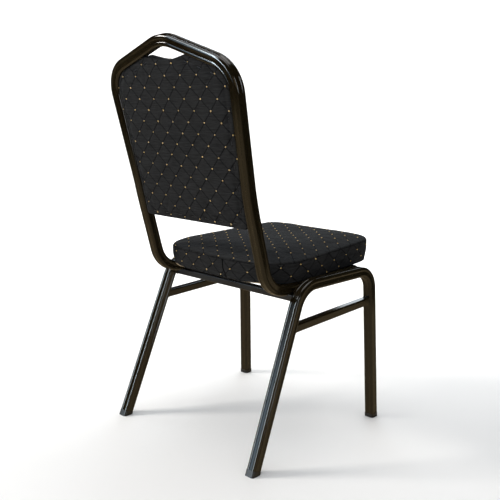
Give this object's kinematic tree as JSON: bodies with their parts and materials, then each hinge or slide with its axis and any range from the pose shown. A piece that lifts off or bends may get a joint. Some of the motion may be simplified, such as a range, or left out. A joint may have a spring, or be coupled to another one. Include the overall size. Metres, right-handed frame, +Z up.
{
  "type": "stacking chair",
  "caption": "Stacking banquet chair with a fluted black steel tube frame, an upholstered seat and a crowned upholstered back with a hand hole.",
  "frame": {"origin": "on the floor under the middle of the chair's bounding box", "axes": "+Z up, the chair's front faces -Y, the sitter's left is +X"},
  "size_m": [0.4696, 0.5652, 0.92],
  "materials": {
    "painted_tube": "gloss black enamel",
    "painted_bar": "satin dark grey enamel",
    "black_plastic": "moulded black plastic",
    "plywood": "raw plywood",
    "hardboard": "raw hardboard",
    "foam": "cream upholstery foam",
    "upholstery": "ribbed dark grey upholstery with a gold dot lattice",
    "dust_cloth": "thin black non-woven cloth",
    "zinc_steel": "zinc plated"
  },
  "bodies": {
    "root": {"back_tube": "painted_tube", "side_frame_left": "painted_tube", "side_frame_right": "painted_tube", "stretcher_left": "painted_tube", "stretcher_right": "painted_tube", "rear_crossbar": "painted_bar", "front_crossbar": "painted_bar", "rail_plugs": "black_plastic", "foot_front_left": "black_plastic", "foot_front_right": "black_plastic", "foot_rear_left": "black_plastic", "foot_rear_right": "black_plastic", "seat_board": "plywood", "seat_foam": "foam", "seat_band": "upholstery", "seat_top_cover": "upholstery", "seat_dust_cover": "dust_cloth", "seat_staples": "zinc_steel", "seat_tee_nuts": "zinc_steel", "seat_bolts": "zinc_steel", "seat_washers": "zinc_steel", "back_lugs": "painted_tube", "back_board": "plywood", "back_screws": "zinc_steel", "back_foam": "foam", "back_front_cover": "upholstery", "back_rear_board": "hardboard", "back_rear_cover": "upholstery", "back_staples": "zinc_steel"}
  },
  "joints": []
}
